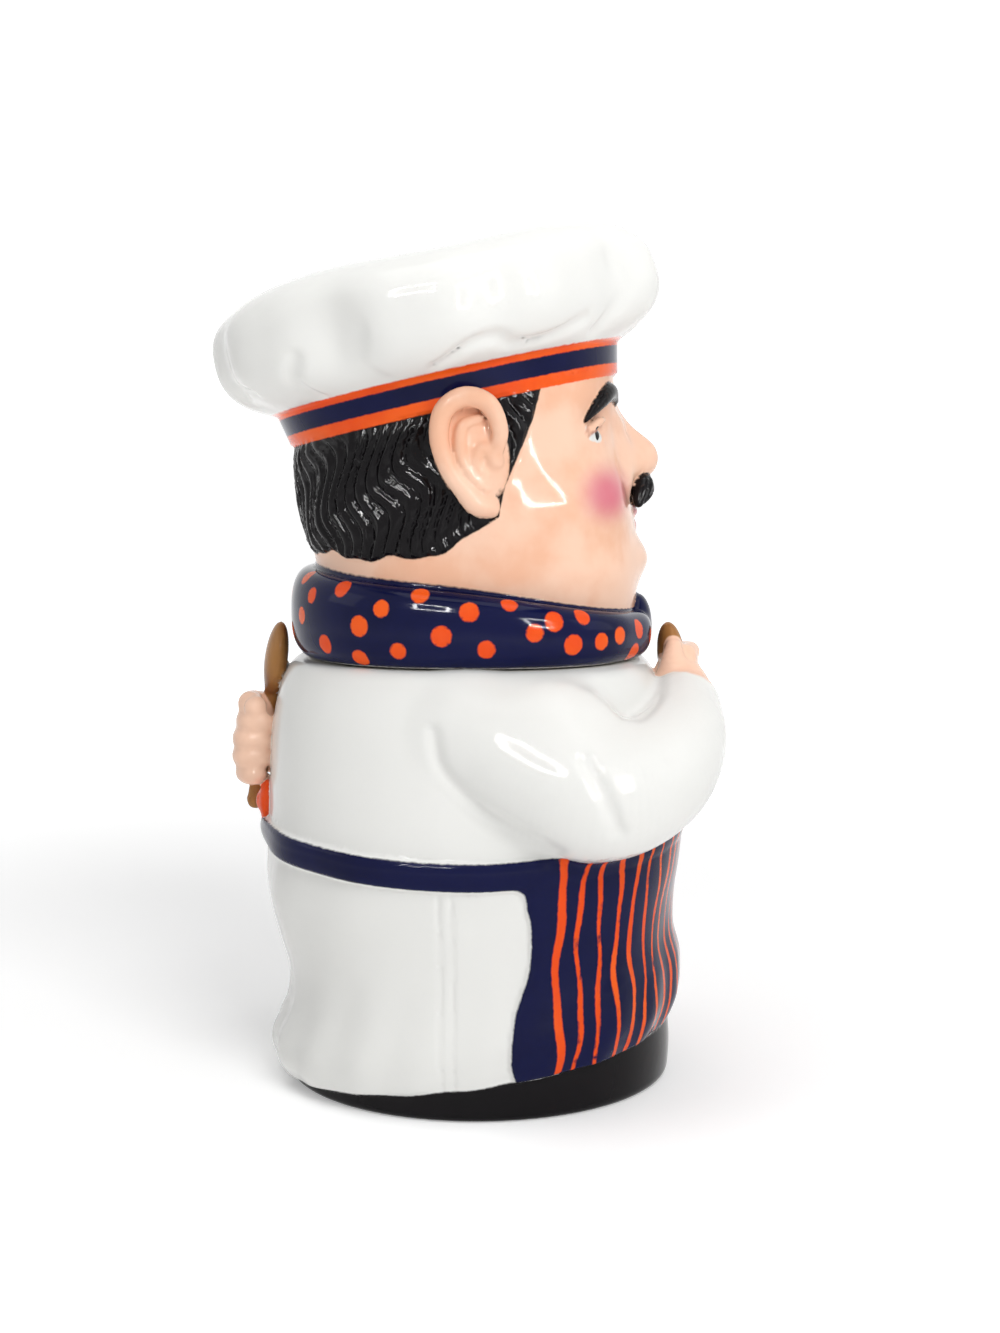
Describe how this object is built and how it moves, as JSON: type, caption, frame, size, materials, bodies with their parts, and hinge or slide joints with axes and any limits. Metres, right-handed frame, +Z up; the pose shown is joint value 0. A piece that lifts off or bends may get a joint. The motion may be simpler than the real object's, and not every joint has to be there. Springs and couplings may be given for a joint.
{
  "type": "figural cookie jar",
  "caption": "Glazed ceramic cookie jar shaped as a stout chef; the hollow head and puffed hat lift off the hollow body as a lid.",
  "frame": {"origin": "middle of the jar's flat underside, where it stands on the table", "axes": "+Z up, the chef faces -Y, and his right hand is on the -X side"},
  "size_m": [0.1773, 0.1699, 0.2928],
  "materials": {
    "body_glaze": "gloss",
    "head_glaze": "gloss"
  },
  "bodies": {
    "root": {"jar_body": "body_glaze", "head_lid": "head_glaze"}
  },
  "joints": []
}
